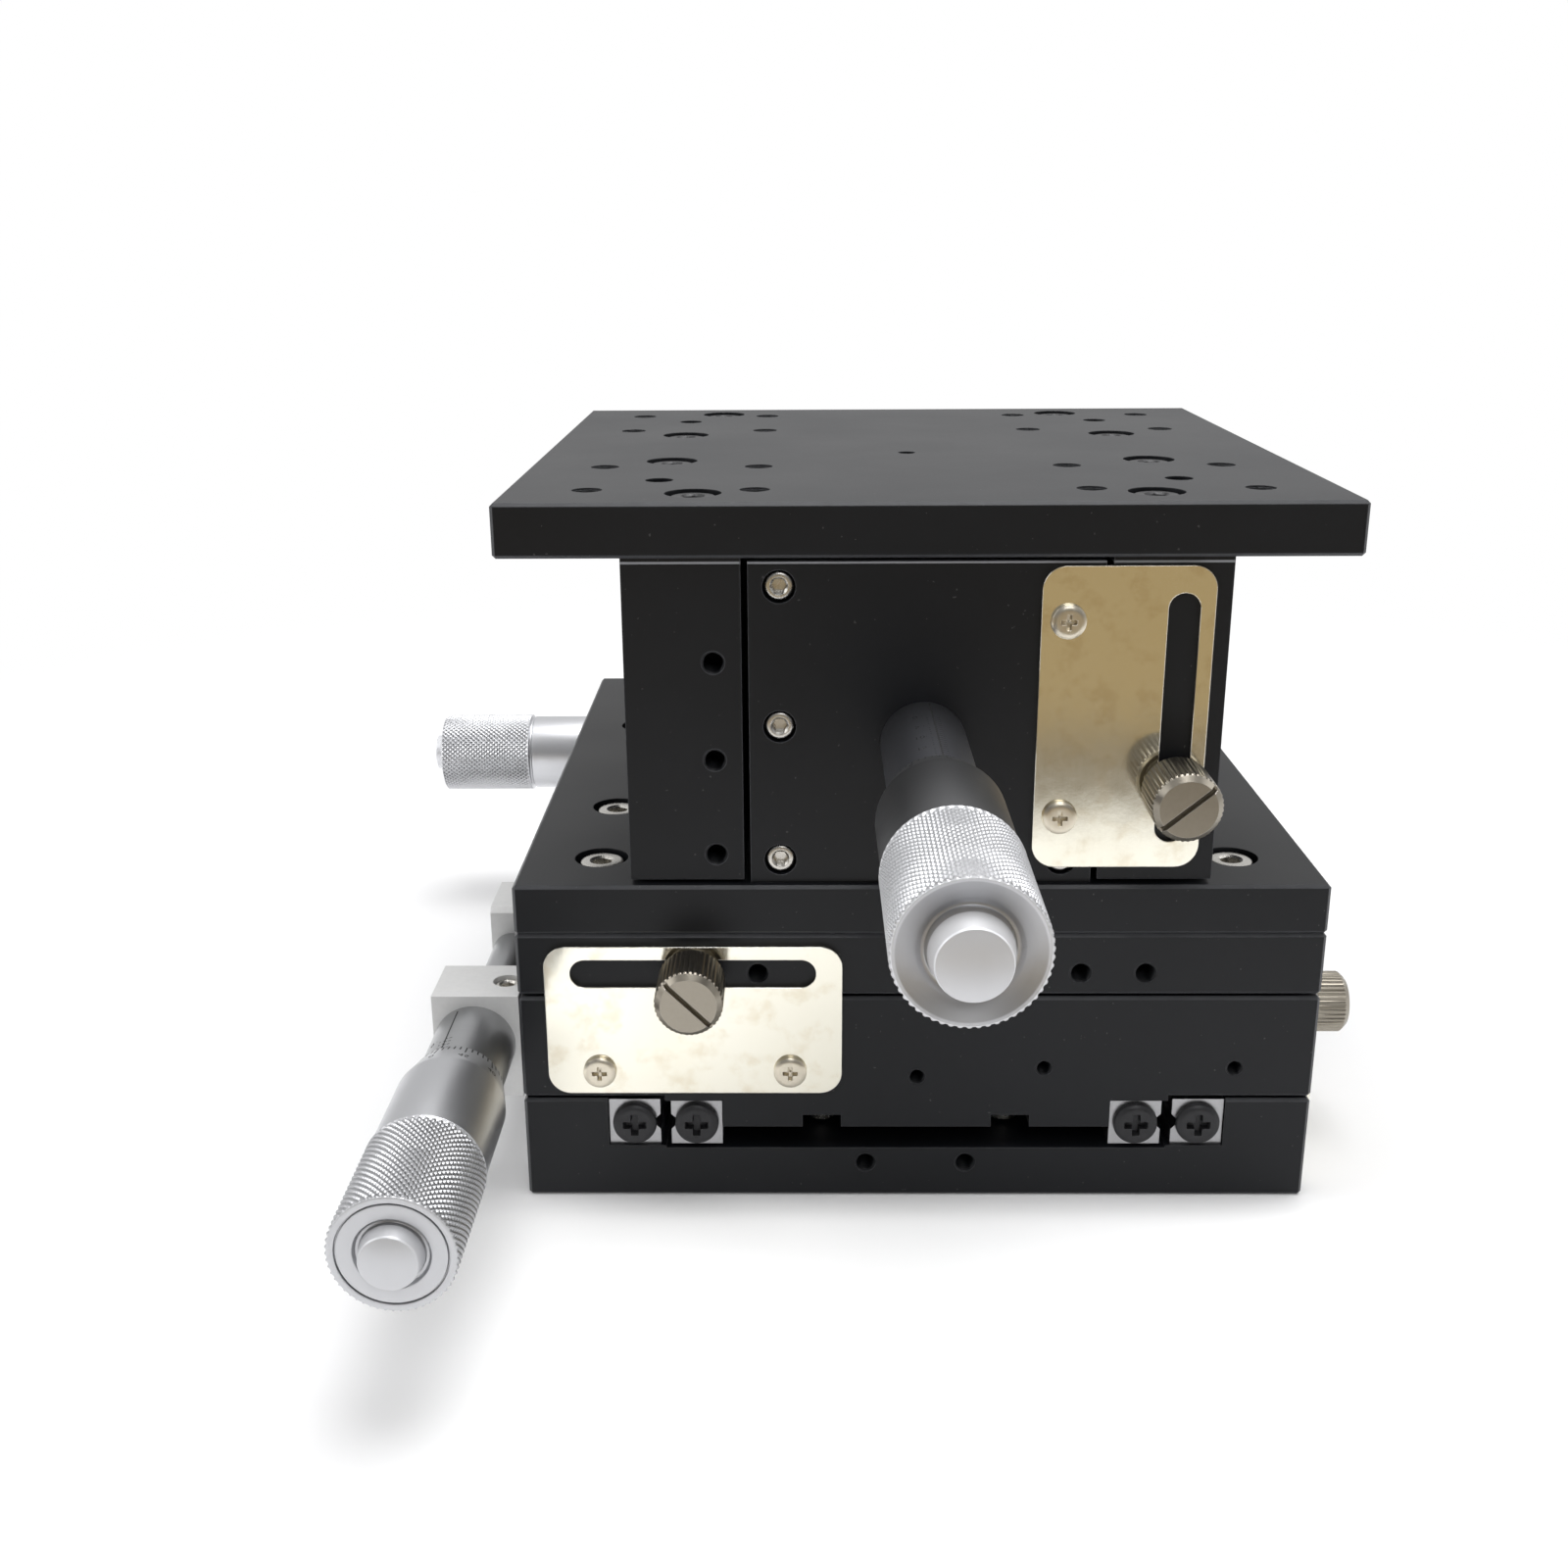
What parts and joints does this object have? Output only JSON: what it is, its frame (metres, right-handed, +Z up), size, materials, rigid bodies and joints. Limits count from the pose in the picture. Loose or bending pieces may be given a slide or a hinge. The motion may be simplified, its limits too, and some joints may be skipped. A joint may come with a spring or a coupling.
{
  "type": "three-axis micrometer stage",
  "caption": "Square translation stage that moves sideways, front to back and up and down on crossed-roller guides, driven by micrometer heads and locked by knurled knobs.",
  "frame": {"origin": "centre of the bottom face of the base plate", "axes": "+Z up through the top plate, +X to the right and +Y to the back seen from the lift's micrometer"},
  "size_m": [0.1773, 0.2211, 0.1122],
  "materials": {
    "black_anodised": "black anodised, satin",
    "bare_aluminium": "bare, fine machined",
    "rail_steel": "hardened and ground",
    "roller_steel": "ground",
    "screw_steel": "stainless, turned",
    "spring_steel": "drawn wire",
    "black_steel": "blackened steel",
    "polished_nickel": "polished nickel plate",
    "satin_chrome": "satin chrome, knurled grip",
    "sleeve_steel": "ground, with graduation lines"
  },
  "bodies": {
    "base": {"base_plate": "black_anodised", "lower_outer_rails": "rail_steel", "base_cap_screws": "screw_steel", "base_rail_end_screws": "black_steel", "y_anvil_block": "bare_aluminium", "y_clamp_plate": "polished_nickel", "y_clamp_plate_screws": "screw_steel", "y_springs": "spring_steel"},
    "y_stage": {"middle_plate": "black_anodised", "lower_inner_rails": "rail_steel", "upper_outer_rails": "rail_steel", "middle_cap_screws": "screw_steel", "middle_rail_end_screws": "black_steel", "middle_spring_posts": "screw_steel", "y_micrometer_bracket": "bare_aluminium", "x_micrometer_bracket": "bare_aluminium", "bracket_screws": "screw_steel", "y_sleeve": "sleeve_steel", "x_sleeve": "sleeve_steel", "x_clamp_plate": "polished_nickel", "x_clamp_plate_screws": "screw_steel", "x_springs": "spring_steel"},
    "x_stage": {"upper_plate": "black_anodised", "upper_inner_rails": "rail_steel", "upper_cap_screws": "screw_steel", "upper_rail_end_screws": "black_steel", "upper_spring_posts": "screw_steel", "x_anvil_block": "bare_aluminium", "z_base_plate": "black_anodised", "z_base_plate_screws": "screw_steel", "z_frame_block": "black_anodised", "z_front_plate": "black_anodised", "z_front_plate_screws": "screw_steel", "z_inner_rails": "rail_steel", "z_sleeve": "sleeve_steel", "z_clamp_plate": "polished_nickel", "z_clamp_plate_screws": "screw_steel", "z_springs": "spring_steel"},
    "z_stage": {"top_plate": "black_anodised", "left_column": "black_anodised", "right_column": "black_anodised", "top_plate_screws": "screw_steel", "z_outer_rails": "rail_steel", "follower_bracket": "rail_steel", "roller_pin": "roller_steel", "top_spring_posts": "screw_steel"},
    "lower_cage": {"lower_roller_cages": "roller_steel"},
    "upper_cage": {"upper_roller_cages": "roller_steel"},
    "z_cage": {"z_roller_cages": "roller_steel"},
    "wedge": {"wedge": "rail_steel"},
    "follower": {"follower_roller": "roller_steel"},
    "y_screw": {"y_thimble": "satin_chrome", "y_spindle": "sleeve_steel"},
    "x_screw": {"x_thimble": "satin_chrome", "x_spindle": "sleeve_steel"},
    "z_screw": {"z_thimble": "satin_chrome", "z_spindle": "sleeve_steel"},
    "y_knob": {"y_clamp_knob": "polished_nickel"},
    "x_knob": {"x_clamp_knob": "polished_nickel"},
    "z_knob": {"z_clamp_knob": "polished_nickel"}
  },
  "joints": [
    {"name": "y_travel", "type": "slide", "parent": "base", "child": "y_stage", "axis": [0, 1, 0], "range_m": [-0.0125, 0.0125], "deforming": ["y_springs"]},
    {"name": "x_travel", "type": "slide", "parent": "y_stage", "child": "x_stage", "axis": [1, 0, 0], "range_m": [-0.0125, 0.0125], "deforming": ["x_springs"]},
    {"name": "z_travel", "type": "slide", "parent": "x_stage", "child": "z_stage", "axis": [0, 0, 1], "range_m": [0, 0.02], "deforming": ["z_springs"]},
    {"name": "lower_cage_travel", "type": "slide", "parent": "base", "child": "lower_cage", "axis": [0, 1, 0], "range_m": [-0.00625, 0.00625]},
    {"name": "upper_cage_travel", "type": "slide", "parent": "y_stage", "child": "upper_cage", "axis": [1, 0, 0], "range_m": [-0.00625, 0.00625]},
    {"name": "z_cage_travel", "type": "slide", "parent": "x_stage", "child": "z_cage", "axis": [0, 0, 1], "range_m": [0, 0.01]},
    {"name": "wedge_travel", "type": "slide", "parent": "x_stage", "child": "wedge", "axis": [0, 1, 0], "range_m": [0, 0.02]},
    {"name": "follower_turn", "type": "hinge", "parent": "z_stage", "child": "follower", "pos_m": [0, -0.00837, 0.07363], "axis": [1, 0, 0], "range_deg": [0, 250]},
    {"name": "y_screw_turn", "type": "hinge", "parent": "base", "child": "y_screw", "pos_m": [-0.0697, -0.0621, 0.0271], "axis": [0, 1, 0], "range_deg": [-9000, 9000]},
    {"name": "x_screw_turn", "type": "hinge", "parent": "x_stage", "child": "x_screw", "pos_m": [-0.0419, 0.0712, 0.03395], "axis": [1, 0, 0], "range_deg": [-9000, 9000]},
    {"name": "z_screw_turn", "type": "hinge", "parent": "wedge", "child": "z_screw", "pos_m": [0, -0.06107, 0.0761], "axis": [0, 1, 0], "range_deg": [0, 14400]},
    {"name": "x_knob_turn", "type": "hinge", "parent": "x_stage", "child": "x_knob", "pos_m": [-0.035, -0.0625, 0.0396], "axis": [0, -1, 0], "range_deg": [0, 360]},
    {"name": "y_knob_turn", "type": "hinge", "parent": "y_stage", "child": "y_knob", "pos_m": [0.0625, -0.0361, 0.0219], "axis": [1, 0, 0], "range_deg": [0, 360]},
    {"name": "z_knob_turn", "type": "hinge", "parent": "z_stage", "child": "z_knob", "pos_m": [0.0373, -0.06107, 0.0698], "axis": [0, -1, 0], "range_deg": [0, 360]}
  ],
  "couplings": [
    {"joint": "y_screw_turn", "follows": "y_travel", "rad_per_m": -12566},
    {"joint": "lower_cage_travel", "follows": "y_travel", "ratio": 0.5},
    {"joint": "x_screw_turn", "follows": "x_travel", "rad_per_m": 12566},
    {"joint": "upper_cage_travel", "follows": "x_travel", "ratio": 0.5},
    {"joint": "z_screw_turn", "follows": "z_travel", "rad_per_m": 12566},
    {"joint": "wedge_travel", "follows": "z_travel", "ratio": 1},
    {"joint": "z_cage_travel", "follows": "z_travel", "ratio": 0.5},
    {"joint": "follower_turn", "follows": "z_travel", "rad_per_m": 217.57}
  ]
}
